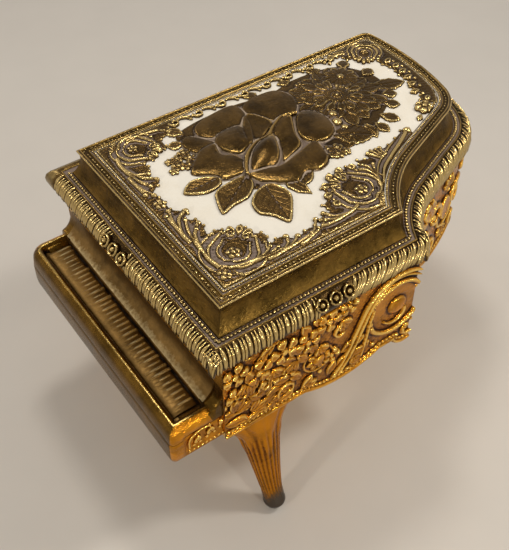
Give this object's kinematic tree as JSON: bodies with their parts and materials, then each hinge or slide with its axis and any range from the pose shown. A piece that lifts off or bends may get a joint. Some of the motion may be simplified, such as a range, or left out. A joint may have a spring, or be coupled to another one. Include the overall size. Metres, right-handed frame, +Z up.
{
  "type": "musical trinket box",
  "caption": "Gilt cast-metal trinket box shaped like a grand piano, with a rose-relief hinged lid, splayed legs, velvet compartment and key-wound comb music movement.",
  "frame": {"origin": "on the table, under the centre of the part's bounding box", "axes": "+X from the bass (hinged) side to the treble side, +Y from the keyboard to the tail, +Z up"},
  "size_m": [0.1138, 0.1536, 0.1],
  "materials": {
    "gilt_case": "polished gold plating over cast metal",
    "antique_gilt": "antiqued gold plating, worn, with pale wax in the recesses",
    "enamel": "cream cold enamel, satin",
    "velvet": "short red pile",
    "velvet_card": "velvet over card",
    "clear_cover": "clear polished sheet",
    "steel": "bright",
    "brass": "satin",
    "spring_steel": "blued"
  },
  "bodies": {
    "case": {"case_shell": "gilt_case", "case_relief": "gilt_case", "key_bed": "gilt_case", "keyboard": "antique_gilt", "bottom_plate": "gilt_case", "bottom_plate_screws": "steel", "leg_bass": "gilt_case", "leg_treble": "gilt_case", "leg_tail": "gilt_case", "leg_screws": "steel", "velvet_floor": "velvet_card", "velvet_walls": "velvet", "partition": "velvet_card", "movement_cover": "clear_cover", "case_hinge_leaves": "brass", "hinge_pins": "brass", "bed_plate": "brass", "movement_screws": "steel", "spring_barrel": "steel", "mainspring": "spring_steel", "drum_brackets": "steel", "comb_block": "brass", "comb": "spring_steel", "comb_screws": "steel", "governor_frame": "steel"},
    "lid": {"lid_shell": "antique_gilt", "lid_gadroon_border": "antique_gilt", "lid_top_border": "antique_gilt", "lid_enamel": "enamel", "corner_scrolls": "antique_gilt", "leaf_spray": "antique_gilt", "rose_bloom": "antique_gilt", "daisy_bloom": "antique_gilt", "lid_lining": "velvet", "lid_hinge_leaves": "brass"},
    "winding": {"winding_arbor": "steel", "great_wheel": "brass", "winding_key": "brass"},
    "cylinder": {"drum": "brass", "drum_shaft": "steel", "drum_pinion": "brass", "drum_gear": "brass"},
    "relay": {"relay_wheel": "brass"},
    "governor": {"governor_worm": "brass"},
    "plunger": {"stop_plunger": "steel"}
  },
  "joints": [
    {"name": "lid_hinge", "type": "hinge", "parent": "case", "child": "lid", "pos_m": [-0.04875, 0.00157, 0.0794], "axis": [0, -1, 0], "range_deg": [0, 100]},
    {"name": "cylinder_spin", "type": "hinge", "parent": "case", "child": "cylinder", "pos_m": [-0.0015, 0.03783, 0.061], "axis": [1, 0, 0], "continuous": true},
    {"name": "key_turn", "type": "hinge", "parent": "case", "child": "winding", "pos_m": [-0.0275, 0.03783, 0.0524], "axis": [0, 0, 1], "continuous": true},
    {"name": "relay_spin", "type": "hinge", "parent": "case", "child": "relay", "pos_m": [-0.0145, 0.0472, 0.061], "axis": [1, 0, 0], "continuous": true},
    {"name": "governor_spin", "type": "hinge", "parent": "case", "child": "governor", "pos_m": [-0.0145, 0.05296, 0.0624], "axis": [0, 0, 1], "continuous": true},
    {"name": "plunger_slide", "type": "slide", "parent": "case", "child": "plunger", "axis": [0, 0, 1], "range_m": [0, 0.0015]}
  ],
  "couplings": [
    {"joint": "key_turn", "follows": "cylinder_spin", "ratio": 0.33333},
    {"joint": "relay_spin", "follows": "cylinder_spin", "ratio": -4},
    {"joint": "governor_spin", "follows": "cylinder_spin", "ratio": -24},
    {"joint": "plunger_slide", "follows": "lid_hinge", "m_per_rad": 0.0008537}
  ]
}
